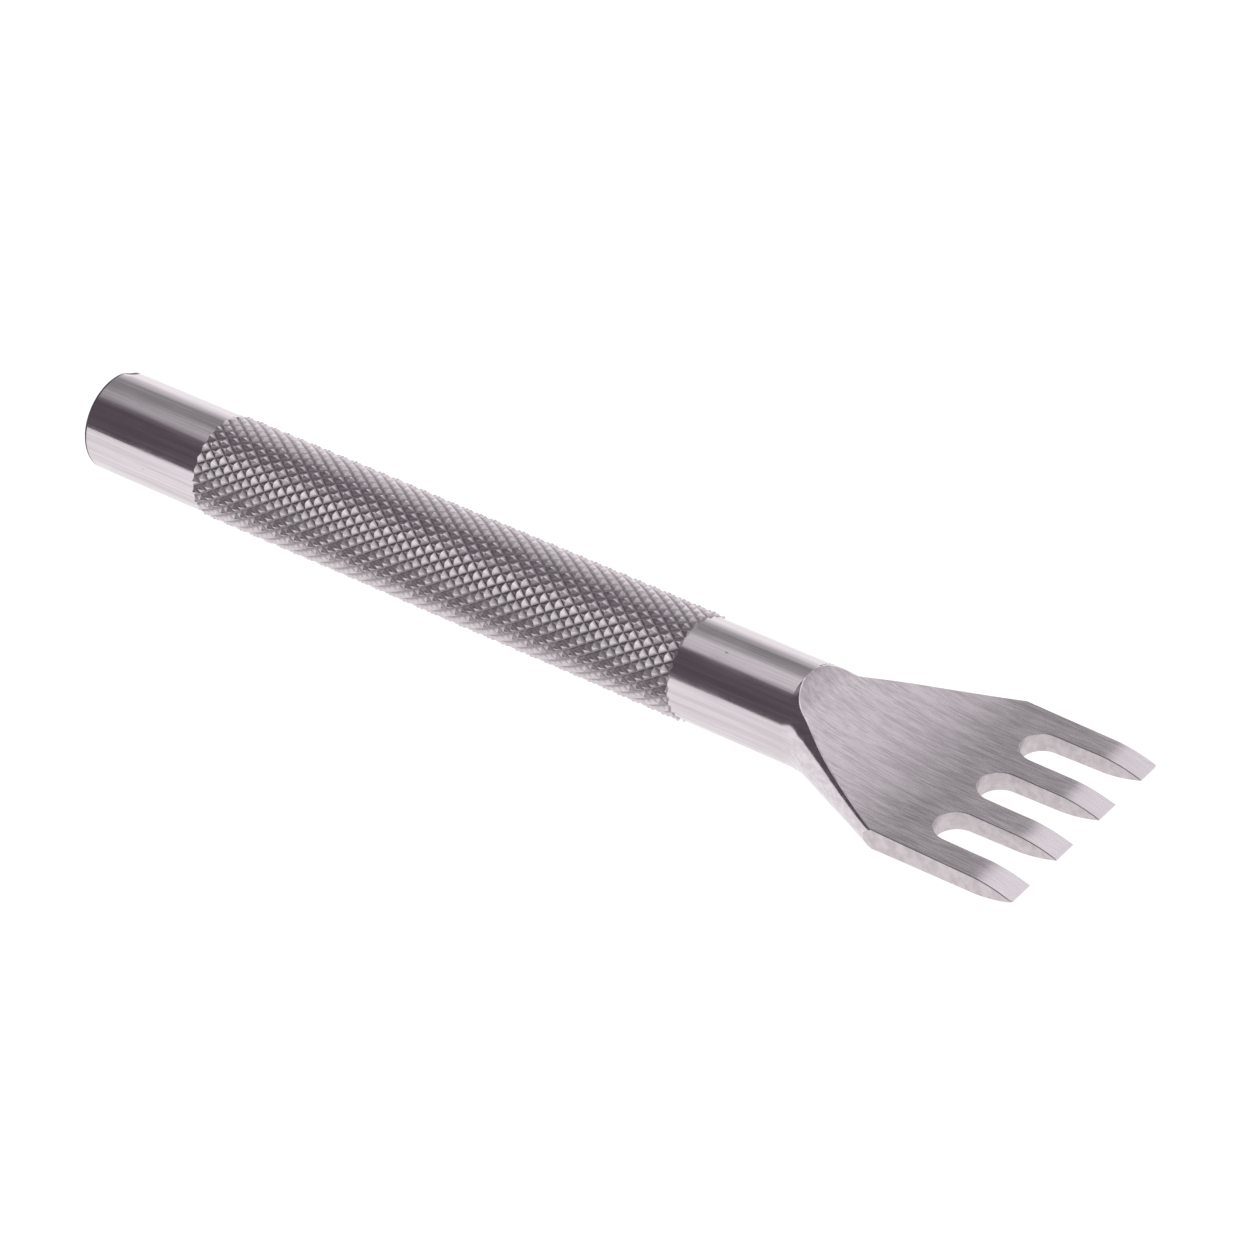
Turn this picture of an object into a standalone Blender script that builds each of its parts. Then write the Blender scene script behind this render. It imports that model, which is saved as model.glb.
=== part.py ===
"""Pricking iron with four flat tines: a forged head on a tang, a knurled grip and a striking cap.

Lengths run along +X from the striking face (x = 0) to the cutting edges, on the tool's axis.
The tines lie side by side along Y, and Z is square to the blade. Units are metres.
"""

import math

import bmesh
import bpy

# Overall
TOTAL_LENGTH = 0.1023
SEAM_GAP = 0.0003
TURNED_SEGMENTS = 48

# Striking cap
CAP_LENGTH = 0.0130
CAP_RADIUS = 0.00454
CAP_CHAMFER = 0.0003
SOCKET_DEPTH = 0.0090

# Knurled grip, with flats as far from the axis as the knurl's crests
GRIP_END = 0.0646
GRIP_CREST_RADIUS = 0.00475
GRIP_FLATS = 28
GRIP_CHAMFER = 0.0002

# Tang and round shank of the head
TANG_RADIUS = 0.0030
BORE_RADIUS = TANG_RADIUS + SEAM_GAP
SHANK_RADIUS = 0.00448

# Plan outline of the forged fan. Each side is a fillet, then a slightly convex flare.
# The two sides differ a little, as hand forging leaves them: -Y first, then +Y.
FLARE_STARTS = (0.0758, 0.07635)
FLARE_FILLET = 0.0040
FLARE_ANGLES = (math.radians(26.65), math.radians(30.2))
FLARE_CROWNS = (2.0, 0.097)
FLARE_REACH = 0.0120

# Flat sides ground across the fan, from its corners to the tips
CORNER_X = 0.0890
CORNER_HALF_WIDTHS = (0.01018, 0.01036)
TIP_HALF_WIDTHS = (0.01036, 0.01016)

# The forged sides are round, with a radius in proportion to the ground thickness
SIDE_ROUNDINGS = (1.2, 1.4)
ROUNDING_CHANGE = (0.0780, 0.0825)
ROUNDING_BLEND = (0.0764, 0.0782)

# Side profile of the hollow-ground faces, as half-thickness above the axis
NOSE_ARC_RADIUS = 0.0050
HOLLOW_START = 0.07855
HOLLOW_END = 0.0906
HOLLOW_RADIUS = 0.0463
TINE_HALF_THICKNESS = 0.000945
TINE_TAPER = 0.0147

# Tines, slots and edge bevels
TINE_COUNT = 4
TINE_PITCH = 0.0060
SLOT_WIDTH = 0.00364
SLOT_CENTRE = 0.0942
BEVEL_START = 0.0988
BEVEL_START_SLOPE = math.radians(4)
EDGE_HALF_THICKNESS = 0.00005

# Size of a cutting solid where it only has to reach past the part
PAST_PART = 0.0020


def steps(start, end, count):
    """The evenly spaced values from start to end, both included."""
    return [start + (end - start) * i / count for i in range(count + 1)]


def make_material(name, colour, roughness):
    """A bare metal surface."""
    material = bpy.data.materials.new(name)
    material.use_nodes = True
    shader = material.node_tree.nodes["Principled BSDF"]
    shader.inputs["Base Color"].default_value = (*colour, 1)
    shader.inputs["Metallic"].default_value = 1
    shader.inputs["Roughness"].default_value = roughness
    material.diffuse_color = (*colour, 1)
    return material


def make_object(name, mesh, material):
    """Put a mesh in the scene with the tool's axis at its resting height and its middle over the origin."""
    mesh.shade_smooth()
    mesh.set_sharp_from_angle(angle=math.radians(30))
    item = bpy.data.objects.new(name, mesh)
    if material:
        mesh.materials.append(material)
    item.location = (-TOTAL_LENGTH / 2, 0, GRIP_CREST_RADIUS)
    bpy.context.scene.collection.objects.link(item)
    return item


def loft(name, rings, closed_ends):
    """A mesh through rings of equal count: closed by end faces, or joined last ring to first."""
    bm = bmesh.new()
    loops = [[bm.verts.new(point) for point in ring] for ring in rings]
    pairs = list(zip(loops, loops[1:]))
    if not closed_ends:
        pairs.append((loops[-1], loops[0]))
    for first, second in pairs:
        for i in range(len(first)):
            j = (i + 1) % len(first)
            bm.faces.new((first[i], first[j], second[j], second[i]))
    if closed_ends:
        bm.faces.new(loops[0])
        bm.faces.new(reversed(loops[-1]))
    bmesh.ops.recalc_face_normals(bm, faces=bm.faces)
    mesh = bpy.data.meshes.new(name)
    bm.to_mesh(mesh)
    bm.free()
    return mesh


def section(x, radius, spread=(0, 0), segments=TURNED_SEGMENTS):
    """A ring across the tool: a circle, or two half circles moved out along -Y and +Y by the spreads."""
    ring = []
    for i in range(segments):
        angle = 2 * math.pi * (i + 0.5) / segments
        across = radius * math.cos(angle)
        moved = across - spread[0] if across < 0 else across + spread[1]
        ring.append((x, moved, radius * math.sin(angle)))
    return ring


def prism(name, outline, low, high, axis):
    """An outline of (x, other) points carried from low to high along Y or Z."""
    def place(point, depth):
        return (point[0], depth, point[1]) if axis == "Y" else (point[0], point[1], depth)

    return loft(name, [[place(point, depth) for point in outline] for depth in (low, high)], True)


def face_height(x):
    """Half-thickness of the blade at x, between its two ground faces."""
    end_sine = math.sin(math.atan(TINE_TAPER))
    start_sine = end_sine + (HOLLOW_END - HOLLOW_START) / HOLLOW_RADIUS
    if x >= BEVEL_START:
        length = TOTAL_LENGTH - BEVEL_START
        height = TINE_HALF_THICKNESS - TINE_TAPER * (BEVEL_START - HOLLOW_END)
        first = math.tan(BEVEL_START_SLOPE) * length
        t = (x - BEVEL_START) / length
        return height - first * t - (height - EDGE_HALF_THICKNESS - first) * t * t
    if x >= HOLLOW_END:
        return TINE_HALF_THICKNESS - TINE_TAPER * (x - HOLLOW_END)
    sine = end_sine + (HOLLOW_END - max(x, HOLLOW_START)) / HOLLOW_RADIUS
    height = TINE_HALF_THICKNESS + HOLLOW_RADIUS * (cosine(end_sine) - cosine(sine))
    if x < HOLLOW_START:
        sine = start_sine + (HOLLOW_START - x) / NOSE_ARC_RADIUS
        height += NOSE_ARC_RADIUS * (cosine(start_sine) - cosine(sine))
    return height


def cosine(sine):
    """The cosine of a slope from its sine."""
    return math.sqrt(1 - sine * sine)


def fan_half_width(x, side):
    """Distance of one side of the forged outline from the axis at x. Side 0 is -Y and side 1 is +Y."""
    start = FLARE_STARTS[side]
    sine = math.sin(FLARE_ANGLES[side])
    fillet_end = start + FLARE_FILLET * sine
    if x <= start:
        return SHANK_RADIUS
    if x <= fillet_end:
        return SHANK_RADIUS + FLARE_FILLET - math.sqrt(FLARE_FILLET**2 - (x - start) ** 2)
    crown = FLARE_CROWNS[side]
    along = cosine(sine - (x - fillet_end) / crown)
    return SHANK_RADIUS + FLARE_FILLET * (1 - cosine(sine)) + crown * (along - cosine(sine))


def smooth(span, x):
    """0 before the span, 1 after it, and an S-curve between."""
    t = min(max((x - span[0]) / (span[1] - span[0]), 0), 1)
    return t * t * (3 - 2 * t)


def side_radius(x):
    """Radius of the forged side at x, across the thickness."""
    blend = smooth(ROUNDING_BLEND, x)
    if blend == 0:
        return SHANK_RADIUS
    back, front = SIDE_ROUNDINGS
    rounding = back + (front - back) * smooth(ROUNDING_CHANGE, x)
    return SHANK_RADIUS + (rounding * face_height(min(x, HOLLOW_END)) - SHANK_RADIUS) * blend


def head_blank():
    """The head before grinding: tang, shank and fan as one bar with round sides."""
    tang_back = CAP_LENGTH - SOCKET_DEPTH + SEAM_GAP
    shoulder = GRIP_END + SEAM_GAP / 2
    rings = [section(tang_back, TANG_RADIUS), section(shoulder, TANG_RADIUS)]
    rings.append(section(shoulder, SHANK_RADIUS))
    stations = steps(FLARE_STARTS[0], ROUNDING_BLEND[1], 10)
    stations += steps(ROUNDING_BLEND[1], HOLLOW_END, 12)[1:]
    stations.append(TOTAL_LENGTH + PAST_PART)
    for x in stations:
        radius = side_radius(x)
        widths = [min(fan_half_width(min(x, HOLLOW_END), side), FLARE_REACH) for side in (0, 1)]
        rings.append(section(x, radius, [width - radius for width in widths]))
    return loft("tine_head", rings, True)


def face_profile():
    """(x, half-thickness) pairs of a ground face, from where it leaves the bar to the cutting edge."""
    start_sine = TINE_TAPER + (HOLLOW_END - HOLLOW_START) / HOLLOW_RADIUS
    stations = []
    for angle in steps(math.radians(85), math.asin(start_sine), 16):
        stations.append(HOLLOW_START - NOSE_ARC_RADIUS * (math.sin(angle) - start_sine))
    stations += steps(HOLLOW_START, HOLLOW_END, 20)[1:]
    stations += steps(BEVEL_START, TOTAL_LENGTH, 8)
    return [(x, face_height(x)) for x in stations]


def grinding_envelope():
    """The space between the upper and lower ground faces, wider than the fan."""
    profile = face_profile()
    clear = profile[0][1]
    upper = [(0, clear)] + profile
    outline = upper + [(x, -height) for x, height in reversed(upper)]
    reach = FLARE_REACH + PAST_PART
    return prism("grinding_envelope", outline, -reach, reach, "Y")


def side_envelope():
    """The space between the two flat sides, extended back past the shank."""
    ends = []
    for side in (0, 1):
        corner, tip = CORNER_HALF_WIDTHS[side], TIP_HALF_WIDTHS[side]
        slope = (tip - corner) / (TOTAL_LENGTH - CORNER_X)
        sign = 2 * side - 1
        ends.append([(x, sign * (corner + slope * (x - CORNER_X))) for x in (0, TOTAL_LENGTH + PAST_PART)])
    reach = SHANK_RADIUS + PAST_PART
    return prism("side_envelope", ends[0] + ends[1][::-1], -reach, reach, "Z")


def slot_cutter(name, middle):
    """A slot with a round end, open past the tips."""
    radius = SLOT_WIDTH / 2
    outline = [(TOTAL_LENGTH + PAST_PART, middle + radius)]
    for angle in steps(math.pi / 2, 3 * math.pi / 2, 16):
        outline.append((SLOT_CENTRE + radius * math.cos(angle), middle + radius * math.sin(angle)))
    outline.append((TOTAL_LENGTH + PAST_PART, middle - radius))
    return prism(name, outline, -SHANK_RADIUS, SHANK_RADIUS, "Z")


def add_boolean(item, cutter_mesh, operation):
    """Apply a cutting solid to an object, and keep that solid out of the finished part."""
    cutter = make_object(cutter_mesh.name, cutter_mesh, None)
    cutter.hide_render = True
    cutter.display_type = "WIRE"
    modifier = item.modifiers.new(cutter_mesh.name, "BOOLEAN")
    modifier.operation = operation
    modifier.solver = "EXACT"
    modifier.object = cutter


def build_head():
    """Forged head: four tines and a round shank, with a tang that runs back through the grip."""
    material = make_material("ground_steel", (0.62, 0.58, 0.60), 0.35)
    head = make_object("tine_head", head_blank(), material)
    add_boolean(head, grinding_envelope(), "INTERSECT")
    add_boolean(head, side_envelope(), "INTERSECT")
    for i in range(TINE_COUNT - 1):
        middle = (i - (TINE_COUNT - 2) / 2) * TINE_PITCH
        add_boolean(head, slot_cutter(f"slot_{i + 1}", middle), "DIFFERENCE")


def build_grip():
    """Sleeve over the tang, whose long flats lie where the rows of crests touch a surface."""
    back = CAP_LENGTH + SEAM_GAP / 2
    front = GRIP_END - SEAM_GAP / 2
    corner_radius = GRIP_CREST_RADIUS / math.cos(math.pi / GRIP_FLATS)
    profile = [
        (back, BORE_RADIUS),
        (back, corner_radius - GRIP_CHAMFER),
        (back + GRIP_CHAMFER, corner_radius),
        (front - GRIP_CHAMFER, corner_radius),
        (front, corner_radius - GRIP_CHAMFER),
        (front, BORE_RADIUS),
    ]
    rings = [section(x, radius, segments=GRIP_FLATS) for x, radius in profile]
    mesh = loft("knurled_grip", rings, False)
    make_object("knurled_grip", mesh, make_material("knurled_steel", (0.50, 0.47, 0.49), 0.40))


def build_cap():
    """Plain round cap that takes the mallet's blow, with a blind socket for the tang."""
    front = CAP_LENGTH - SEAM_GAP / 2
    profile = [
        (0, CAP_RADIUS - CAP_CHAMFER),
        (CAP_CHAMFER, CAP_RADIUS),
        (front, CAP_RADIUS),
        (front, BORE_RADIUS),
        (CAP_LENGTH - SOCKET_DEPTH, BORE_RADIUS),
    ]
    mesh = loft("striking_cap", [section(x, radius) for x, radius in profile], True)
    make_object("striking_cap", mesh, make_material("polished_steel", (0.66, 0.62, 0.64), 0.15))


def main():
    for item in list(bpy.data.objects):
        bpy.data.objects.remove(item)
    build_head()
    build_grip()
    build_cap()


main()
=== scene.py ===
import math
import random

import bpy
from mathutils import Matrix, Vector


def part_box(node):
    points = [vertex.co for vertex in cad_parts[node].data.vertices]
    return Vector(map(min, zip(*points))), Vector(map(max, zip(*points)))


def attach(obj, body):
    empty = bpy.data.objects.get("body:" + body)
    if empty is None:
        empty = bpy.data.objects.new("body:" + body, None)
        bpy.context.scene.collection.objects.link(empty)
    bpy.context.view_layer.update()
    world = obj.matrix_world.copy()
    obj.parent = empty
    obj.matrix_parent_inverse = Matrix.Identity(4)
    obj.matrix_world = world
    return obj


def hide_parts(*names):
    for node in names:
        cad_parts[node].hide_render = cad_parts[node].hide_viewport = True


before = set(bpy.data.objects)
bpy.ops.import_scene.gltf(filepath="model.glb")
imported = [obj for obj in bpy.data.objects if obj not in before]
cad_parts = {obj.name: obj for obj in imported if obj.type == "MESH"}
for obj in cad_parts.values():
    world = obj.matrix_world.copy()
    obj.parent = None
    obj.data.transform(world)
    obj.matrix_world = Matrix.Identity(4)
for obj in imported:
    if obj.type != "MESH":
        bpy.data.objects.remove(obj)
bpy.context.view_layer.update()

MM = 0.001

# Places and sizes read from the frame
CAP_LOW, CAP_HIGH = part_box("striking_cap")
GRIP_LOW, GRIP_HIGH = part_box("knurled_grip")
HEAD_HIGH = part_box("tine_head")[1]
BUTT_X = CAP_LOW[0]
TIP_X = HEAD_HIGH[0]
BACK_SEAM_X = (CAP_HIGH[0] + GRIP_LOW[0]) / 2
FRONT_SEAM_X = GRIP_HIGH[0] + (GRIP_LOW[0] - CAP_HIGH[0]) / 2
AXIS_Z = (GRIP_LOW[2] + GRIP_HIGH[2]) / 2
CREST_RADIUS = (GRIP_HIGH[2] - GRIP_LOW[2]) / 2

# Round lengths
CAP_RADIUS = 4.54 * MM
SHANK_RADIUS = 4.48 * MM
TANG_RADIUS = 3.3 * MM

# Plan outline of the fan, with x measured from the butt. Pairs are for the -Y side, then the +Y side
FLARE_STARTS = (75.8 * MM, 76.35 * MM)
FLARE_FILLET = 4.0 * MM
FLARE_ANGLES = (math.radians(26.65), math.radians(30.2))
FLARE_CROWNS = (2000 * MM, 97 * MM)
CORNER_X = 89.0 * MM
CORNER_HALF_WIDTHS = (10.18 * MM, 10.36 * MM)
TIP_HALF_WIDTHS = (10.36 * MM, 10.16 * MM)
TIP_ROUNDING = 0.25 * MM

# The forged sides are round, with a radius in proportion to the ground thickness
SIDE_ROUNDINGS = (1.2, 1.4)
ROUNDING_CHANGE = (78.0 * MM, 82.5 * MM)
ROUNDING_BLEND = (76.4 * MM, 78.2 * MM)

# Side profile of the ground faces
NOSE_ARC_RADIUS = 5.0 * MM
HOLLOW_START = 78.55 * MM
HOLLOW_END = 90.6 * MM
HOLLOW_RADIUS = 46.3 * MM
TINE_HALF_THICKNESS = 0.945 * MM
TINE_TAPER = 0.0147
BEVEL_START = 98.8 * MM
BEVEL_START_SLOPE = math.radians(4)
EDGE_HALF_THICKNESS = 0.05 * MM

# Tines and slots
TINE_COUNT = 4
TINE_PITCH = 6.0 * MM
SLOT_RADIUS = 1.82 * MM
SLOT_CENTRE = 94.2 * MM
LENGTH = TIP_X - BUTT_X

# Broken edges: their size, and the most they take of the half-thickness and of the ground face
EDGE_BREAK = 0.06 * MM
EDGE_BREAK_SHARE = 0.4
FACE_BREAK_SHARE = 0.3

# The crease between the forged round and the flat side is looked for, and followed, this far
CREASE_REACH = 3 * MM
BISECTIONS = 50

# Knurl: diamonds round the grip and rows along it, then the groove's depth. The groove bottom and the
# flank end at these shares of a half diamond, measured in from its outline
KNURL_STARTS = 27
KNURL_ROWS = 67
KNURL_DEPTH = 0.33 * MM
KNURL_GROOVE = 0.045
KNURL_TOP = 0.93

# Unevenness of the diamonds: in height, sideways, and how fast the height changes from row to row
KNURL_UNEVEN = 0.03 * MM
KNURL_LEAN = 0.12
KNURL_WAVE = 0.2
KNURL_SEED = 4
KNURL_SHARP_DEG = 20


# ---------------------------------------------------------------- helpers

def spread(start, end, count):
    """Evenly spaced values from start to end, both included."""
    return [start + (end - start) * i / count for i in range(count + 1)]


def smooth(low, high, value):
    """0 below low, 1 above high, and an S-curve between them."""
    t = min(max((value - low) / (high - low), 0.0), 1.0)
    return t * t * (3 - 2 * t)


def make_piece(name, points, faces, materials, face_materials=None, sharp_deg=30):
    """A mesh object from points given from the butt on the tool's axis, smooth shaded between sharp edges."""
    mesh = bpy.data.meshes.new(name)
    placed = [(x + BUTT_X, y, z + AXIS_Z) for x, y, z in points]
    mesh.from_pydata(placed, [], faces)
    for material in materials:
        mesh.materials.append(material)
    if face_materials:
        mesh.polygons.foreach_set("material_index", face_materials)
    mesh.validate()
    mesh.update()
    mesh.shade_smooth()
    mesh.set_sharp_from_angle(angle=math.radians(sharp_deg))
    item = bpy.data.objects.new(name, mesh)
    bpy.context.scene.collection.objects.link(item)
    return item


class Shader:
    """A material, or the world, whose nodes are added by short calls."""

    def __init__(self, owner):
        owner.use_nodes = True
        self.tree = owner.node_tree
        self.tree.nodes.clear()

    def add(self, kind, inputs=None, **settings):
        node = self.tree.nodes.new(kind)
        for key, value in settings.items():
            setattr(node, key, value)
        for key, value in (inputs or {}).items():
            socket = node.inputs[key]
            if isinstance(value, bpy.types.NodeSocket):
                self.tree.links.new(value, socket)
            else:
                socket.default_value = value
        return node

    def math(self, operation, first, second=0.0):
        node = self.add("ShaderNodeMath", {0: first, 1: second}, operation=operation)
        return node.outputs[0]

    def ramp(self, value, low, high, out_low=0.0, out_high=1.0, kind="SMOOTHSTEP"):
        inputs = {"Value": value, "From Min": low, "From Max": high, "To Min": out_low, "To Max": out_high}
        node = self.add("ShaderNodeMapRange", inputs, interpolation_type=kind)
        return node.outputs["Result"]

    def mixed(self, factor, first, second):
        node = self.add("ShaderNodeMix", {"Factor": factor, 2: first, 3: second}, data_type="FLOAT")
        return node.outputs[0]

    def mix(self, factor, first, second, blend="MIX"):
        node = self.add("ShaderNodeMix", {"Factor": factor}, data_type="RGBA", blend_type=blend)
        for socket, value in ((node.inputs[6], first), (node.inputs[7], second)):
            if isinstance(value, bpy.types.NodeSocket):
                self.tree.links.new(value, socket)
            else:
                socket.default_value = (*value, 1)
        return node.outputs[2]

    def noise(self, vector, scale, detail=4.0, roughness=0.55):
        inputs = {"Vector": vector, "Scale": scale, "Detail": detail, "Roughness": roughness}
        return self.add("ShaderNodeTexNoise", inputs).outputs["Fac"]

    def stretched(self, vector, scale, turn=(0, 0, 0)):
        inputs = {"Vector": vector, "Scale": scale, "Rotation": turn}
        return self.add("ShaderNodeMapping", inputs, vector_type="POINT").outputs["Vector"]


# ---------------------------------------------------------------- profiles

def flare_half_width(x, side):
    """Distance of the forged side from the axis at x, at mid-thickness. Side 0 is -Y and side 1 is +Y."""
    start, angle, crown = FLARE_STARTS[side], FLARE_ANGLES[side], FLARE_CROWNS[side]
    fillet_end = start + FLARE_FILLET * math.sin(angle)
    if x <= start:
        return SHANK_RADIUS
    if x <= fillet_end:
        return SHANK_RADIUS + FLARE_FILLET - math.sqrt(FLARE_FILLET**2 - (x - start) ** 2)
    along = math.sqrt(1 - (math.sin(angle) - (x - fillet_end) / crown) ** 2)
    return SHANK_RADIUS + FLARE_FILLET * (1 - math.cos(angle)) + crown * (along - math.cos(angle))


def flat_half_width(x, side):
    """Distance of the flat ground side from the axis at x, with the tip's corner rounded."""
    corner, tip = CORNER_HALF_WIDTHS[side], TIP_HALF_WIDTHS[side]
    width = corner + (tip - corner) * (x - CORNER_X) / (LENGTH - CORNER_X)
    past = max(x - (LENGTH - TIP_ROUNDING), 0)
    return width - TIP_ROUNDING + math.sqrt(max(TIP_ROUNDING**2 - past**2, 0))


END_SLOPE = math.atan(TINE_TAPER)
HOLLOW_SLOPE = math.asin(math.sin(END_SLOPE) + (HOLLOW_END - HOLLOW_START) / HOLLOW_RADIUS)
HOLLOW_RISE = HOLLOW_RADIUS * (math.cos(END_SLOPE) - math.cos(HOLLOW_SLOPE))
BEVEL_LENGTH = LENGTH - BEVEL_START
BEVEL_HEIGHT = TINE_HALF_THICKNESS - TINE_TAPER * (BEVEL_START - HOLLOW_END)


def face_height(x):
    """Half-thickness of the blade at x, between its two ground faces."""
    if x >= BEVEL_START:
        t = (x - BEVEL_START) / BEVEL_LENGTH
        first = math.tan(BEVEL_START_SLOPE) * BEVEL_LENGTH
        return BEVEL_HEIGHT - first * t - (BEVEL_HEIGHT - EDGE_HALF_THICKNESS - first) * t * t
    if x >= HOLLOW_END:
        return TINE_HALF_THICKNESS - TINE_TAPER * (x - HOLLOW_END)
    if x >= HOLLOW_START:
        sine = math.sin(END_SLOPE) + (HOLLOW_END - x) / HOLLOW_RADIUS
        return TINE_HALF_THICKNESS + HOLLOW_RADIUS * (math.cos(END_SLOPE) - math.sqrt(1 - sine * sine))
    sine = min(math.sin(HOLLOW_SLOPE) + (HOLLOW_START - x) / NOSE_ARC_RADIUS, 0.999)
    rise = NOSE_ARC_RADIUS * (math.cos(HOLLOW_SLOPE) - math.sqrt(1 - sine * sine))
    return TINE_HALF_THICKNESS + HOLLOW_RISE + rise


def nose_x():
    """Where the ground face leaves the top of the round shank."""
    low, high = HOLLOW_START - NOSE_ARC_RADIUS, HOLLOW_START
    for _ in range(BISECTIONS):
        middle = (low + high) / 2
        if face_height(middle) > SHANK_RADIUS:
            low = middle
        else:
            high = middle
    return high


def side_radius(x):
    """Radius of the forged side at x, across the thickness."""
    blend = smooth(*ROUNDING_BLEND, x)
    if blend == 0:
        return SHANK_RADIUS
    back, front = SIDE_ROUNDINGS
    rounding = back + (front - back) * smooth(*ROUNDING_CHANGE, x)
    return SHANK_RADIUS + (rounding * face_height(min(x, HOLLOW_END)) - SHANK_RADIUS) * blend


def forged_side(x, side, z):
    """Distance of the rounded forged side from the axis at x and z."""
    radius = side_radius(x)
    return flare_half_width(min(x, HOLLOW_END), side) - radius + math.sqrt(max(radius**2 - z**2, 0))


def edge_break(height):
    """Size of the broken edge where the blade has this half-thickness."""
    return min(EDGE_BREAK, height * EDGE_BREAK_SHARE)


def side_distance(x, side, z):
    """Distance of the finished side from the axis: the forged round or the flat, whichever is nearer."""
    return min(forged_side(x, side, z), flat_half_width(x, side))


def crease_x(side, share):
    """Where the forged round meets the flat side, at a share of the blade's half-thickness."""
    low, high = CORNER_X - CREASE_REACH, HOLLOW_END
    for _ in range(BISECTIONS):
        middle = (low + high) / 2
        if forged_side(middle, side, share * face_height(middle)) < flat_half_width(middle, side):
            low = middle
        else:
            high = middle
    return low


# ---------------------------------------------------------------- blade and shank

# Direction of side 0 and of side 1
SIGNS = (-1, 1)

# Material numbers, in the order that build_head is given the materials
POLISHED, GROUND, HIGHLIGHTED_EDGE, MILLED = range(4)

# Numbers of strips along the shank, the opening nose, the fan, its two corners and the slots' roots,
# then round a slot's end, along the tines and along the bevel
SHANK_STRIPS = 12
NOSE_STRIPS = 40
FAN_STRIPS = 30
CORNER_STRIPS = 6
ROOT_STRIPS = 8
SLOT_END_STRIPS = 12
TINE_STRIPS = 8
BEVEL_STRIPS = 12
NOSE_LENGTH = 1.0 * MM
HEAD_SHARP_DEG = 21


class HeadMesh:
    """Collects the head's points and faces, station by station from the shank to the tips."""

    SIDE = 10
    PER_TINE = 8

    def __init__(self):
        self.points = []
        self.faces = []
        self.kinds = []
        self.creases = [[crease_x(side, i / self.SIDE) for i in range(self.SIDE + 1)] for side in (0, 1)]
        low, high = (side_distance(SLOT_CENTRE - SLOT_RADIUS, side, 0) for side in (0, 1))
        bounds = [(i - (TINE_COUNT - 2) / 2) * TINE_PITCH for i in range(TINE_COUNT - 1)]
        self.bounds = [-low] + bounds + [high]
        ys = []
        for start, end in zip(self.bounds, self.bounds[1:]):
            ys += spread(start, end, self.PER_TINE)[:-1]
        self.shares = [(y + low) / (low + high) for y in ys] + [1.0]

    def point(self, x, y, z):
        self.points.append((x, y, z))
        return len(self.points) - 1

    def face(self, ids, kind):
        kept = [v for i, v in enumerate(ids) if v != ids[i - 1]]
        if len(set(kept)) >= 3:
            self.faces.append(kept)
            self.kinds.append(kind)

    def strip(self, first, second, kinds, flip):
        """Faces between two rows of points, with one material number for each column."""
        for i, kind in enumerate(kinds):
            ids = [first[i], first[i + 1], second[i + 1], second[i]]
            self.face(ids[::-1] if flip else ids, kind)

    def slid(self, x, side, i):
        """x moved so that the stations follow the crease between the round and the flat side."""
        top = self.creases[side][-1]
        weight = max(1 - abs(x - top) / CREASE_REACH, 0)
        return x + (self.creases[side][i] - top) * weight

    def outer_side(self, x, side, z_sign, middle_id):
        """Points up an outer side at x, from mid-thickness to just short of the ground face."""
        ids = [middle_id]
        for i in range(1, self.SIDE + 1):
            at = self.slid(x, side, i)
            height = face_height(at)
            z = (height - edge_break(height)) * i / self.SIDE
            ids.append(self.point(at, SIGNS[side] * side_distance(at, side, z), z_sign * z))
        return ids

    def outer_middle(self, x, side):
        at = self.slid(x, side, 0)
        return self.point(at, SIGNS[side] * side_distance(at, side, 0), 0)

    def slot_side(self, x, y, z_sign, middle_id):
        """Points up a slot's straight wall."""
        height = face_height(x)
        top = height - edge_break(height)
        ids = [middle_id]
        for z in spread(0, top, self.SIDE)[1:]:
            ids.append(self.point(x, y, z_sign * z))
        return ids

    def face_edge(self, x, side):
        """Distance of the ground face's edge from the axis."""
        full = side_distance(x, side, face_height(x))
        return full - min(EDGE_BREAK, full * FACE_BREAK_SHARE)


def without_repeats(loop):
    """The point numbers in order, each once."""
    return list(dict.fromkeys(loop))


def round_station(head, x):
    """Rows of point numbers over and under the round shank at x."""
    middles = [head.point(x, sign * SHANK_RADIUS, 0) for sign in SIGNS]
    rows = []
    for z_sign in (1, -1):
        ups = []
        for sign, middle in zip(SIGNS, middles):
            ids = [middle]
            for angle in spread(0, math.pi / 2, head.SIDE)[1:]:
                across = sign * SHANK_RADIUS * math.cos(angle)
                ids.append(head.point(x, across, z_sign * SHANK_RADIUS * math.sin(angle)))
            ups.append(ids)
        ups[1][-1] = ups[0][-1]
        rows.append(ups[0] + [ups[0][-1]] * len(head.shares) + ups[1][::-1])
    return rows


def body_station(head, x):
    """Rows of point numbers over and under the blade at x: side, face columns, side."""
    middles = [head.outer_middle(x, side) for side in (0, 1)]
    low, high = (head.face_edge(x, side) for side in (0, 1))
    height = face_height(x)
    rows = []
    for z_sign in (1, -1):
        left, right = (head.outer_side(x, side, z_sign, middles[side]) for side in (0, 1))
        columns = [head.point(x, share * (low + high) - low, z_sign * height) for share in head.shares]
        rows.append(left + columns + right[::-1])
    return rows


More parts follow.
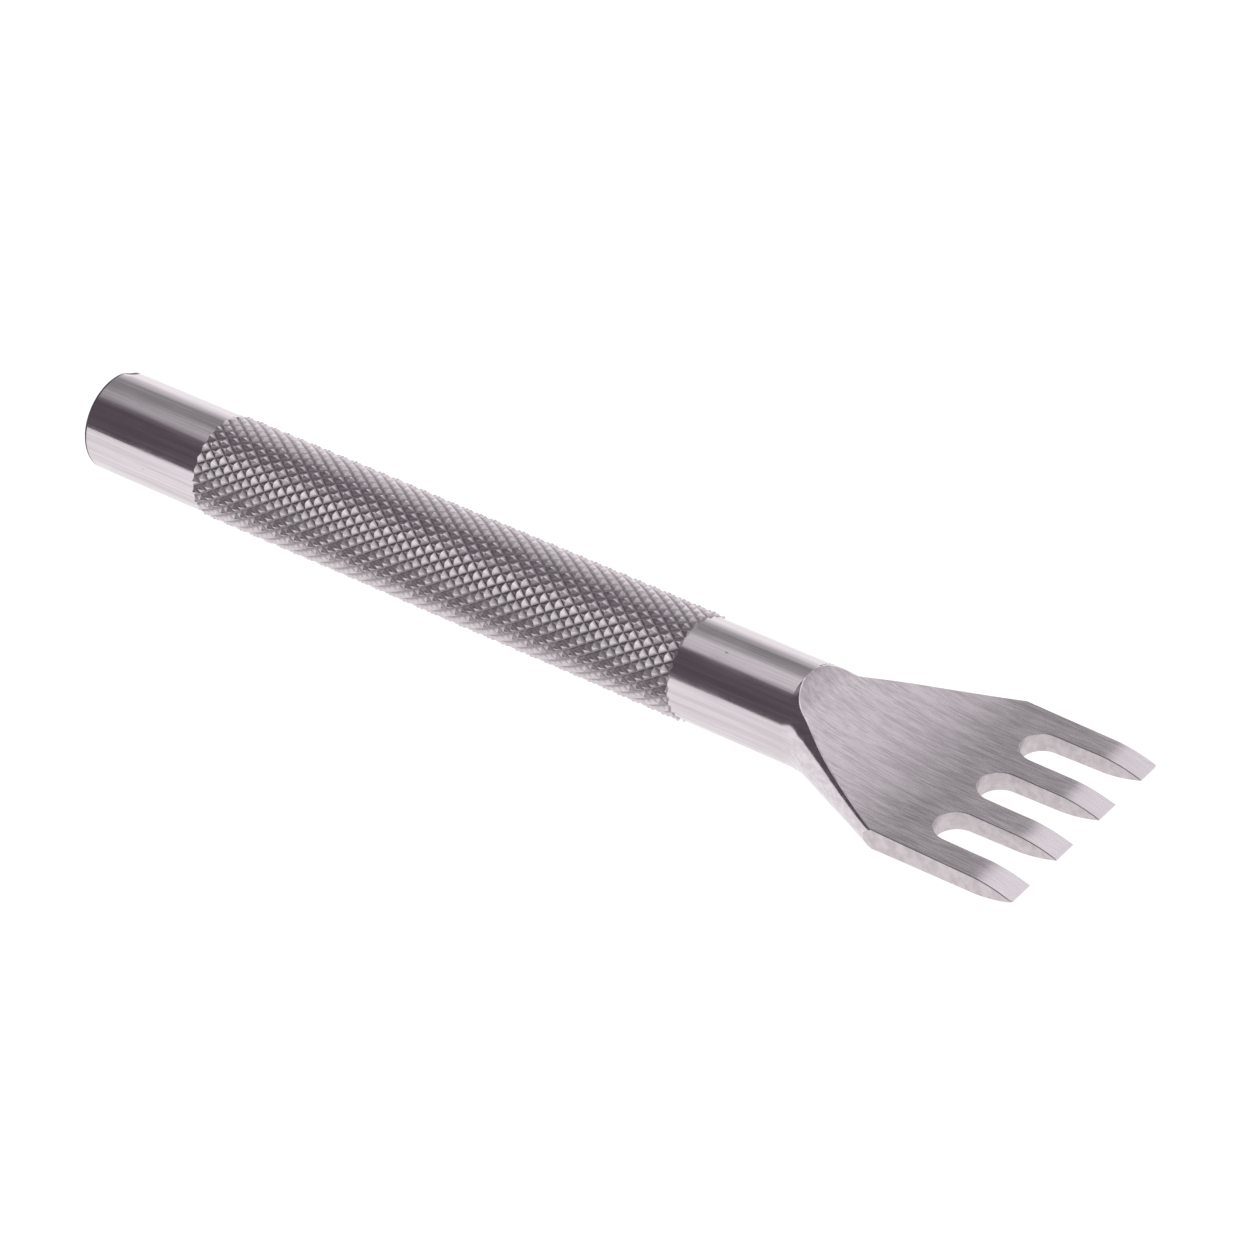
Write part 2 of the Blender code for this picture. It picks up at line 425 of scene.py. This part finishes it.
def tine_station(head, tine, x_face, x_wall, opening):
    """Rows of point numbers over and under one tine; its slot walls may lie at another x than its face."""
    outer = (tine == 0, tine == TINE_COUNT - 1)
    height = face_height(x_face)
    edge = edge_break(height)
    middles = []
    walls = []
    limits = []
    for side in (0, 1):
        inward = -SIGNS[side]
        if outer[side]:
            middles.append(head.outer_middle(x_face, side))
            walls.append(None)
            limits.append(SIGNS[side] * head.face_edge(x_face, side))
        else:
            slot = head.bounds[tine + side]
            walls.append(slot + inward * SLOT_RADIUS * opening)
            middles.append(head.point(x_wall, walls[side], 0))
            limits.append(slot + inward * (SLOT_RADIUS + edge) * opening)
    rows = []
    for z_sign in (1, -1):
        ups = []
        for side in (0, 1):
            if outer[side]:
                ups.append(head.outer_side(x_face, side, z_sign, middles[side]))
            else:
                ups.append(head.slot_side(x_wall, walls[side], z_sign, middles[side]))
        columns = [head.point(x_face, y, z_sign * height) for y in spread(*limits, head.PER_TINE)]
        rows.append(ups[0] + columns + ups[1][::-1])
    return rows


def build_head(materials):
    """Shank, fan, hollow-ground faces, slots and bevelled tines as one closed mesh."""
    head = HeadMesh()
    nose = nose_x()
    apex = SLOT_CENTRE - SLOT_RADIUS
    rim = SLOT_RADIUS + EDGE_BREAK
    # the last column of each side, the broken edge beside the ground face, takes the painted edge highlight
    # on the fan
    side_kinds = [POLISHED] * head.SIDE + [HIGHLIGHTED_EDGE]
    slot_kinds = [MILLED] * (head.SIDE + 1)
    column_kinds = [GROUND] * (len(head.shares) - 1)
    fan_kinds = side_kinds + column_kinds + side_kinds[::-1]
    root_kinds = slot_kinds + column_kinds + slot_kinds[::-1]

    # stations lie close together where the nose opens, then evenly up to each corner and to the slots
    nose_end = HOLLOW_START + NOSE_LENGTH
    near_corner, far_corner = sorted(creases[-1] for creases in head.creases)
    xs = [nose + (nose_end - nose) * t * t for t in spread(0, 1, NOSE_STRIPS)[1:]]
    xs += spread(nose_end, near_corner, FAN_STRIPS)[1:]
    xs += spread(near_corner, far_corner, CORNER_STRIPS)[1:]
    xs += spread(far_corner, SLOT_CENTRE - rim, ROOT_STRIPS)[1:]
    stations = [round_station(head, x) for x in spread(FRONT_SEAM_X - BUTT_X, nose, SHANK_STRIPS)]
    stations += [body_station(head, x) for x in xs]
    fan_strips = len(stations) - 1 - sum(x > near_corner for x in xs)
    for i, (first, second) in enumerate(zip(stations, stations[1:])):
        kinds = fan_kinds if i < fan_strips else root_kinds
        head.strip(first[0], second[0], kinds, flip=True)
        head.strip(first[1], second[1], kinds, flip=False)

    # the back end, hidden at the seam
    loop = stations[0][0] + stations[0][1][::-1]
    head.face(without_repeats(loop), POLISHED)

    # each slot's closed end is an upright line that two tines share
    ends = {}
    for i in range(1, TINE_COUNT):
        middle = head.point(apex, head.bounds[i], 0)
        ends[i] = [head.slot_side(apex, head.bounds[i], z_sign, middle) for z_sign in (1, -1)]

    angles = spread(0, math.pi / 2, SLOT_END_STRIPS)[1:]
    places = []
    for angle in angles:
        back = math.cos(angle)
        places.append((SLOT_CENTRE - rim * back, SLOT_CENTRE - SLOT_RADIUS * back, math.sin(angle)))
    straight = spread(SLOT_CENTRE, BEVEL_START, TINE_STRIPS)[1:]
    straight += spread(BEVEL_START, LENGTH - TIP_ROUNDING, BEVEL_STRIPS)[1:]
    straight += [LENGTH - TIP_ROUNDING * (1 - math.sin(a)) for a in angles[2::3]]
    places += [(x, x, 1.0) for x in straight]
    last = stations[-1]
    for tine in range(TINE_COUNT):
        start = head.SIDE + 1 + tine * head.PER_TINE
        rows = []
        for k in (0, 1):
            columns = last[k][start : start + head.PER_TINE + 1]
            left = last[k][: head.SIDE + 1] if tine == 0 else ends[tine][k]
            right = last[k][-head.SIDE - 1 :] if tine == TINE_COUNT - 1 else ends[tine + 1][k][::-1]
            rows.append(left + columns + right)
        tine_kinds = slot_kinds + [GROUND] * head.PER_TINE + slot_kinds[::-1]
        for x_face, x_wall, opening in places:
            new_rows = tine_station(head, tine, x_face, x_wall, opening)
            head.strip(rows[0], new_rows[0], tine_kinds, flip=True)
            head.strip(rows[1], new_rows[1], tine_kinds, flip=False)
            rows = new_rows
        # the thin cutting edge
        loop = rows[0] + rows[1][::-1]
        head.face(without_repeats(loop)[::-1], GROUND)
    return make_piece("blade_and_shank", head.points, head.faces, materials, head.kinds, HEAD_SHARP_DEG)


# ---------------------------------------------------------------- knurled grip

class KnurlMesh:
    """Diamonds on a lattice of groove crossings, each with a groove round it, four flanks and a flat top."""

    def __init__(self, start, end):
        self.start = start
        self.row_length = (end - start) / KNURL_ROWS
        self.root = CREST_RADIUS - KNURL_DEPTH
        self.points = []
        self.faces = []
        self.crossings = {}
        self.random = random.Random(KNURL_SEED)

    def place(self, row, turn, radius):
        angle = 2 * math.pi * turn
        x = self.start + row * self.row_length
        self.points.append((x, radius * math.cos(angle), radius * math.sin(angle)))
        return len(self.points) - 1

    def crossing(self, row, half_turns):
        """The point where two grooves cross, counted in half diamonds round the grip."""
        key = (row, half_turns % (2 * KNURL_STARTS))
        if key not in self.crossings:
            self.crossings[key] = self.place(row, key[1] / (2 * KNURL_STARTS), self.root)
        return self.crossings[key]

    def diamond(self, row, half_turns):
        """One diamond, or the half of it inside the grip. Returns the points that lie on the end plane."""
        sides = [(1, 0), (0, 1), (-1, 0), (0, -1)]
        if row == 0:
            sides = [(0, -1), (1, 0), (0, 1)]
        if row == KNURL_ROWS:
            sides = [(0, 1), (-1, 0), (0, -1)]
        wave = math.sin(KNURL_WAVE * row + math.pi * half_turns / KNURL_STARTS)
        crest = CREST_RADIUS - KNURL_UNEVEN * (self.random.random() + 0.5 + 0.5 * wave)
        lean = KNURL_LEAN * (self.random.random() - 0.5)
        outer = []
        inner = []
        top = []
        for along, across in sides:
            outer.append(self.crossing(row + along, half_turns + across))
            for ring, share, radius in ((inner, 1 - KNURL_GROOVE, self.root), (top, 1 - KNURL_TOP, crest)):
                shift = lean if ring is top and len(sides) == 4 else 0
                turn = (half_turns + share * across + shift) / (2 * KNURL_STARTS)
                ring.append(self.place(row + share * along, turn, radius))
        pairs = list(zip(range(4), (1, 2, 3, 0))) if len(sides) == 4 else [(0, 1), (1, 2)]
        for i, j in pairs:
            self.faces.append((outer[i], outer[j], inner[j], inner[i]))
            self.faces.append((inner[i], inner[j], top[j], top[i]))
        self.faces.append(tuple(top))
        return [outer[0], inner[0], top[0], top[-1], inner[-1]]

    def end_ring(self, row):
        """The saw-toothed edge of the knurl on an end plane, in order round the grip."""
        ring = []
        for j in range(KNURL_STARTS):
            edge = self.diamond(row, 2 * j + (row + 1) % 2)
            if row == KNURL_ROWS:
                last = self.crossing(row, 2 * j + (row + 1) % 2 - 1)
                edge = [last] + edge[:0:-1]
            ring += edge
        return ring


def build_grip(materials):
    """Sleeve of raised diamonds between two crossing families of V grooves, bored for the tang."""
    knurl = KnurlMesh(BACK_SEAM_X - BUTT_X, FRONT_SEAM_X - BUTT_X)
    back = knurl.end_ring(0)
    for row in range(1, KNURL_ROWS):
        for j in range(KNURL_STARTS):
            knurl.diamond(row, 2 * j + (row + 1) % 2)
    front = knurl.end_ring(KNURL_ROWS)
    bores = []
    for ring in (back, front):
        bore = []
        for v in ring:
            x, y, z = knurl.points[v]
            shrink = TANG_RADIUS / math.hypot(y, z)
            knurl.points.append((x, y * shrink, z * shrink))
            bore.append(len(knurl.points) - 1)
        bores.append(bore)
    count = len(back)
    for j in range(count):
        k = (j + 1) % count
        knurl.faces.append((back[j], back[k], bores[0][k], bores[0][j]))
        knurl.faces.append((front[k], front[j], bores[1][j], bores[1][k]))
    # the bore's two rings may start at different angles, so they are bridged with triangles
    knurl.faces += bridge(knurl.points, bores[0], bores[1])
    outward = [face[::-1] for face in knurl.faces]
    return make_piece("diamond_knurl", knurl.points, outward, materials, sharp_deg=KNURL_SHARP_DEG)


def bridge(points, first, second):
    """Triangles between two closed rings that run the same way round the axis."""
    def angle(v):
        return math.atan2(points[v][2], points[v][1]) % (2 * math.pi)

    rings = []
    for ring in (first, second):
        lowest = min(range(len(ring)), key=lambda i: angle(ring[i]))
        turned = ring[lowest:] + ring[:lowest]
        rings.append(turned + [turned[0]])
    faces = []
    i = j = 0
    a, b = rings
    while i < len(a) - 1 or j < len(b) - 1:
        next_a = angle(a[i + 1]) if i + 1 < len(a) - 1 else 2 * math.pi
        next_b = angle(b[j + 1]) if j + 1 < len(b) - 1 else 2 * math.pi
        if j == len(b) - 1 or (i < len(a) - 1 and next_a <= next_b):
            faces.append((a[i], a[i + 1], b[j]))
            i += 1
        else:
            faces.append((a[i], b[j + 1], b[j]))
            j += 1
    return faces


# ---------------------------------------------------------------- striking cap

CAP_CROWN = 0.03 * MM
CAP_RIM = 0.24 * MM
SOCKET_FLOOR = 4.0 * MM

# The nick in the rim. It fades out across the striking face between two radii, and is painted near black
# as painted shade where it is deeper than a share of its depth
NICK_ANGLE = math.radians(63)
NICK_LENGTH = 0.9 * MM
NICK_WIDTH = 0.8 * MM
NICK_DEPTH = 0.15 * MM
NICK_FADE = (3.6 * MM, 4.3 * MM)
NICK_SHADE_SHARE = 0.35

# Points round the cap, the end of the closely spaced rings, and the numbers of strips across the face,
# round the rim, along the nick and along the rest
CAP_AROUND = 288
CAP_CLOSE_END = 1.2 * MM
FACE_STRIPS, RIM_STRIPS, NICK_STRIPS, REST_STRIPS = 12, 8, 20, 12

# Material numbers, in the order that build_cap is given the materials
PLAIN, SHADED_RIM = range(2)


def build_cap(materials):
    """Plain cap with a slightly crowned striking face, a rim painted dark as painted shade, and a nick in the
    rim.
    """
    end = BACK_SEAM_X - BUTT_X
    flat = CAP_RADIUS - CAP_RIM
    profile = [(CAP_CROWN * (r / flat) ** 2, r) for r in spread(0, flat, FACE_STRIPS)[1:]]
    rim_start = len(profile) - 1
    for angle in spread(0, math.pi / 2, RIM_STRIPS)[1:]:
        x = CAP_CROWN + (CAP_RIM - CAP_CROWN) * (1 - math.cos(angle))
        profile.append((x, flat + CAP_RIM * math.sin(angle)))
    rim_end = len(profile) + 1
    profile += [(x, CAP_RADIUS) for x in spread(CAP_RIM, CAP_CLOSE_END, NICK_STRIPS)[1:]]
    profile += [(x, CAP_RADIUS) for x in spread(CAP_CLOSE_END, end, REST_STRIPS)[1:]]
    profile += [(end, TANG_RADIUS), (SOCKET_FLOOR, TANG_RADIUS)]
    around = CAP_AROUND
    points = [(0.0, 0.0, 0.0)]
    depths = [0.0]
    for x, radius in profile:
        for j in range(around):
            angle = 2 * math.pi * j / around
            aside = radius * (angle - NICK_ANGLE) / NICK_WIDTH
            near_rim = smooth(*NICK_FADE, radius)
            pressed = NICK_DEPTH * math.exp(-(aside**2) - (x / NICK_LENGTH) ** 4) * near_rim
            points.append((x, (radius - pressed) * math.cos(angle), (radius - pressed) * math.sin(angle)))
            depths.append(pressed)
    faces = [(0, 1 + (j + 1) % around, 1 + j) for j in range(around)]
    kinds = [PLAIN] * around
    for i in range(len(profile) - 1):
        first = 1 + i * around
        for j in range(around):
            k = (j + 1) % around
            faces.append((first + j, first + k, first + around + k, first + around + j))
            # painted shade: the rounded rim and the deepest part of the nick are painted near black
            dark = rim_start <= i < rim_end or depths[first + j] > NICK_SHADE_SHARE * NICK_DEPTH
            kinds.append(SHADED_RIM if dark else PLAIN)
    back = 1 + (len(profile) - 1) * around
    faces.append([back + j for j in range(around)])
    kinds.append(PLAIN)
    return make_piece("plain_striking_cap", points, faces, materials, kinds)


# ---------------------------------------------------------------- materials

# Darkest and lightest colour of each finish; the bevel and edge tones are painted highlights and the rim
# tones painted shade
POLISHED_TONES = ((0.56, 0.515, 0.54), (0.68, 0.635, 0.66))
GROUND_TONES = ((0.46, 0.42, 0.447), (0.62, 0.575, 0.60))
BEVEL_HIGHLIGHT_TONES = ((0.58, 0.54, 0.565), (0.78, 0.735, 0.765))
EDGE_HIGHLIGHT_TONES = ((0.66, 0.61, 0.64), (0.92, 0.87, 0.90))
RIM_SHADE_TONES = ((0.08, 0.07, 0.08), (0.24, 0.22, 0.235))
KNURL_TONES = ((0.56, 0.515, 0.54), (0.66, 0.615, 0.64))

# Milled walls darken where the mottling is strongest, so these two run from light to dark
MILLED_TONES = ((0.60, 0.555, 0.575), (0.50, 0.455, 0.475))
SPECK_TONE = (0.40, 0.37, 0.385)
# Painted shade for the bottoms of the knurl's grooves
GROOVE_SHADE_TONE = (0.36, 0.33, 0.345)

BEVEL_HIGHLIGHT_FADE = 1.2 * MM
GRIND_TURN = (0, 0, math.radians(6))
FINE_BUMP = 0.02 * MM
COARSE_BUMP = 0.03 * MM


def steel(name, roughness):
    """A metal shader with its output, ready for its own colour, roughness and bump."""
    material = bpy.data.materials.new(name)
    nodes = Shader(material)
    surface = nodes.add("ShaderNodeBsdfPrincipled", {"Metallic": 1.0, "Roughness": roughness})
    nodes.add("ShaderNodeOutputMaterial", {"Surface": surface.outputs[0]})
    place = nodes.add("ShaderNodeTexCoord").outputs["Object"]
    return material, nodes, surface, place


def connect(nodes, value, socket):
    nodes.tree.links.new(value, socket)


def polished_steel():
    """Turned and polished: faint lengthwise streaks, soft cloudiness and a few specks."""
    material, nodes, surface, place = steel("polished_steel", 0.14)
    streak = nodes.noise(nodes.stretched(place, (60, 2600, 2600)), 1.0, 5, 0.6)
    cloud = nodes.noise(place, 260, 3, 0.5)
    colour = nodes.mix(nodes.ramp(streak, 0.35, 0.66), *POLISHED_TONES)
    specks = nodes.ramp(nodes.noise(place, 1600, 1, 0.3), 0.79, 0.84)
    connect(nodes, nodes.mix(specks, colour, SPECK_TONE), surface.inputs["Base Color"])
    streaky = nodes.ramp(streak, 0.3, 0.7, 0.10, 0.16)
    rough = nodes.math("ADD", streaky, nodes.ramp(cloud, 0.4, 0.7, 0.0, 0.06))
    connect(nodes, rough, surface.inputs["Roughness"])
    bump = nodes.add("ShaderNodeBump", {"Height": streak, "Strength": 0.25, "Distance": FINE_BUMP})
    connect(nodes, bump.outputs["Normal"], surface.inputs["Normal"])
    return material


def ground_steel():
    """Ground faces: fine scratches a little off the length, in bands of tone, with a painted highlight that
    makes the bevel brighter.
    """
    material, nodes, surface, place = steel("ground_steel", 0.3)
    fine = nodes.noise(nodes.stretched(place, (420, 6500, 3000), GRIND_TURN), 1.0, 4, 0.65)
    broad = nodes.noise(nodes.stretched(place, (110, 1500, 800), GRIND_TURN), 1.0, 3, 0.5)
    cloud = nodes.noise(place, 220, 3, 0.5)
    tone = nodes.math("ADD", nodes.math("MULTIPLY", fine, 0.6), nodes.math("MULTIPLY", broad, 0.4))
    colour = nodes.mix(nodes.ramp(tone, 0.38, 0.62), *GROUND_TONES)
    along = nodes.add("ShaderNodeSeparateXYZ", {"Vector": place}).outputs["X"]
    # painted highlight: the colour turns lighter past the bevel's start, where the steeper bevel catches the
    # light
    bevel_highlight = nodes.ramp(along, BUTT_X + BEVEL_START, BUTT_X + BEVEL_START + BEVEL_HIGHLIGHT_FADE)
    colour = nodes.mix(bevel_highlight, colour, nodes.mix(tone, *BEVEL_HIGHLIGHT_TONES))
    connect(nodes, colour, surface.inputs["Base Color"])
    rough = nodes.math("ADD", nodes.ramp(fine, 0.3, 0.7, 0.16, 0.24), nodes.ramp(cloud, 0.35, 0.7, 0.0, 0.06))
    connect(nodes, rough, surface.inputs["Roughness"])
    bump = nodes.add("ShaderNodeBump", {"Height": fine, "Strength": 0.5, "Distance": FINE_BUMP})
    connect(nodes, bump.outputs["Normal"], surface.inputs["Normal"])
    return material


def painted_edge_highlight():
    """Painted highlight: a bright, mottled line along the ground faces' outer edges on the fan."""
    material, nodes, surface, place = steel("painted_edge_highlight", 0.45)
    highlight_mottle = nodes.noise(place, 900, 3, 0.6)
    colour = nodes.mix(nodes.ramp(highlight_mottle, 0.35, 0.65), *EDGE_HIGHLIGHT_TONES)
    connect(nodes, colour, surface.inputs["Base Color"])
    return material


def milled_steel():
    """Slot walls and the sides of the tines: matt, slightly mottled."""
    material, nodes, surface, place = steel("milled_steel", 0.38)
    mottle = nodes.noise(place, 1400, 4, 0.6)
    colour = nodes.mix(nodes.ramp(mottle, 0.35, 0.68), *MILLED_TONES)
    connect(nodes, colour, surface.inputs["Base Color"])
    bump = nodes.add("ShaderNodeBump", {"Height": mottle, "Strength": 0.4, "Distance": COARSE_BUMP})
    connect(nodes, bump.outputs["Normal"], surface.inputs["Normal"])
    return material


def painted_rim_shade():
    """Painted shade on the cap's rim and in the nick: near-black, mottled steel."""
    material, nodes, surface, place = steel("painted_rim_shade", 0.5)
    rim_shade_mottle = nodes.noise(place, 1200, 3, 0.6)
    colour = nodes.mix(nodes.ramp(rim_shade_mottle, 0.3, 0.7), *RIM_SHADE_TONES)
    connect(nodes, colour, surface.inputs["Base Color"])
    return material


def knurled_steel():
    """Bright flanks, and thin groove bottoms painted darker as painted shade."""
    material, nodes, surface, place = steel("knurled_steel", 0.25)
    apart = nodes.add("ShaderNodeSeparateXYZ", {"Vector": place})
    up = nodes.math("SUBTRACT", apart.outputs["Z"], AXIS_Z)
    y_squared = nodes.math("MULTIPLY", apart.outputs["Y"], apart.outputs["Y"])
    radius = nodes.math("SQRT", nodes.math("ADD", y_squared, nodes.math("MULTIPLY", up, up)))
    depth = nodes.ramp(radius, CREST_RADIUS - KNURL_DEPTH, CREST_RADIUS)
    grain = nodes.noise(place, 3000, 3, 0.6)
    metal = nodes.mix(nodes.ramp(grain, 0.3, 0.7), *KNURL_TONES)
    # painted shade: the colour darkens towards the groove bottoms
    colour = nodes.mix(nodes.ramp(depth, 0.0, 0.27), GROOVE_SHADE_TONE, metal)
    connect(nodes, colour, surface.inputs["Base Color"])
    connect(nodes, nodes.ramp(depth, 0.0, 1.0, 0.4, 0.22), surface.inputs["Roughness"])
    bump = nodes.add("ShaderNodeBump", {"Height": grain, "Strength": 0.3, "Distance": FINE_BUMP})
    connect(nodes, bump.outputs["Normal"], surface.inputs["Normal"])
    return material


# ---------------------------------------------------------------- stage, light, camera

FLOOR_SIZE = 3.0
FLOOR_GLOW = 0.98
FLOOR_SHADE = 0.16

# Brightness of the studio: its horizon, and the part of it past the tips, then the rest
HORIZON_LIGHT = 1.35
FAR_HORIZON_LIGHT = 0.8
SKY_LIGHT = 0.34
SOFT_BOX_LIGHT = 0.52
DARK_SCREEN_LIGHT = 0.135
LIT_TINT = (1, 0.98, 1)
DARK_TINT = (1, 0.86, 0.98)

SUN_STRENGTH = 1.0
SUN_SPREAD = math.radians(60)
SUN_TURN = (math.radians(-12), math.radians(-10), 0)

# The camera's place from the butt's centre, the direction it stands in, and its lens
CAMERA_PLACE = (262.167 * MM, -247.689 * MM, 239.970 * MM)
CAMERA_AZIMUTH = math.radians(-50.3025)
CAMERA_ELEVATION = math.radians(36.5497)
CAMERA_ROLL = math.radians(-3.2690)
CAMERA_LENS = 140.55
CAMERA_SENSOR = 36
CAMERA_CLIP_START = 0.01


def build_floor():
    """A plain white table, lit from below like a light table so that it carries almost no shadow."""
    mesh = bpy.data.meshes.new("floor")
    corners = [(x * FLOOR_SIZE, y * FLOOR_SIZE, 0) for x, y in ((-1, -1), (1, -1), (1, 1), (-1, 1))]
    mesh.from_pydata(corners, [], [(0, 1, 2, 3)])
    floor = bpy.data.objects.new("floor", mesh)
    material = bpy.data.materials.new("floor_paper")
    nodes = Shader(material)
    inputs = {
        "Base Color": (FLOOR_SHADE, FLOOR_SHADE, FLOOR_SHADE, 1),
        "Roughness": 0.9,
        "Specular IOR Level": 0.0,
        "Emission Color": (1, 0.985, 0.99, 1),
        "Emission Strength": FLOOR_GLOW,
    }
    surface = nodes.add("ShaderNodeBsdfPrincipled", inputs)
    nodes.add("ShaderNodeOutputMaterial", {"Surface": surface.outputs[0]})
    mesh.materials.append(material)
    bpy.context.scene.collection.objects.link(floor)


def build_world():
    """A white sweep all round, soft boxes overhead and on the +Y side, and a dark screen on the -Y side."""
    world = bpy.data.worlds.new("studio")
    bpy.context.scene.world = world
    nodes = Shader(world)
    direction = nodes.add("ShaderNodeTexCoord").outputs["Generated"]
    apart = nodes.add("ShaderNodeSeparateXYZ", {"Vector": direction})
    x, y, z = (apart.outputs[k] for k in "XYZ")
    horizon = nodes.ramp(x, 0.1, 0.5, HORIZON_LIGHT, FAR_HORIZON_LIGHT)
    sweep = nodes.ramp(z, 0.05, 0.55, horizon, SKY_LIGHT, "LINEAR")
    high = nodes.math("MULTIPLY", nodes.ramp(y, -0.1, 0.3), nodes.ramp(z, 0.3, 0.5))
    side_box = nodes.math("MULTIPLY", nodes.ramp(x, -0.48, -0.27, 0.0, SOFT_BOX_LIGHT), high)
    overhead_box = nodes.ramp(z, 0.74, 0.88, 0.0, SOFT_BOX_LIGHT)
    light = nodes.math("ADD", nodes.math("ADD", sweep, side_box), overhead_box)
    across = nodes.math("ADD", y, nodes.math("MULTIPLY", x, 0.55))
    front = nodes.ramp(across, -0.46, -0.66)
    left = nodes.ramp(x, 0.45, -0.15, 0.55, 1.0)
    dark = nodes.math("MULTIPLY", front, left)
    strength = nodes.mixed(dark, light, DARK_SCREEN_LIGHT)
    colour = nodes.mix(dark, LIT_TINT, DARK_TINT)
    background = nodes.add("ShaderNodeBackground", {"Color": colour, "Strength": strength})
    nodes.add("ShaderNodeOutputWorld", {"Surface": background.outputs[0]})


def build_lights():
    """A wide, soft sun from above that leaves no highlight of its own."""
    light = bpy.data.lights.new("overhead", "SUN")
    light.energy = SUN_STRENGTH
    light.angle = SUN_SPREAD
    item = bpy.data.objects.new("overhead", light)
    item.rotation_euler = SUN_TURN
    item.visible_glossy = False
    bpy.context.scene.collection.objects.link(item)


def build_camera():
    """Looks down across the tool from past its tips, on the -Y side, with a long lens."""
    camera = bpy.data.cameras.new("camera")
    camera.sensor_width = CAMERA_SENSOR
    camera.lens = CAMERA_LENS
    camera.clip_start = CAMERA_CLIP_START
    item = bpy.data.objects.new("camera", camera)
    place = Vector(CAMERA_PLACE) + Vector((BUTT_X, 0, AXIS_Z))
    azimuth = Matrix.Rotation(CAMERA_AZIMUTH + math.pi / 2, 4, "Z")
    elevation = Matrix.Rotation(math.pi / 2 - CAMERA_ELEVATION, 4, "X")
    roll = Matrix.Rotation(CAMERA_ROLL, 4, "Z")
    item.matrix_world = Matrix.Translation(place) @ azimuth @ elevation @ roll
    bpy.context.scene.collection.objects.link(item)
    bpy.context.scene.camera = item


# ---------------------------------------------------------------- assembly

polish, ground, knurl = polished_steel(), ground_steel(), knurled_steel()
blade = build_head([polish, ground, painted_edge_highlight(), milled_steel()])
grip = build_grip([knurl])
cap = build_cap([polish, painted_rim_shade()])
for piece, node, slot in (
    (blade, "tine_head", "ground_steel"),
    (grip, "knurled_grip", "knurled_steel"),
    (cap, "striking_cap", "polished_steel"),
):
    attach(piece, "root")
    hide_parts(node)

build_floor()
build_world()
build_lights()
build_camera()
bpy.context.scene.view_settings.view_transform = "Standard"
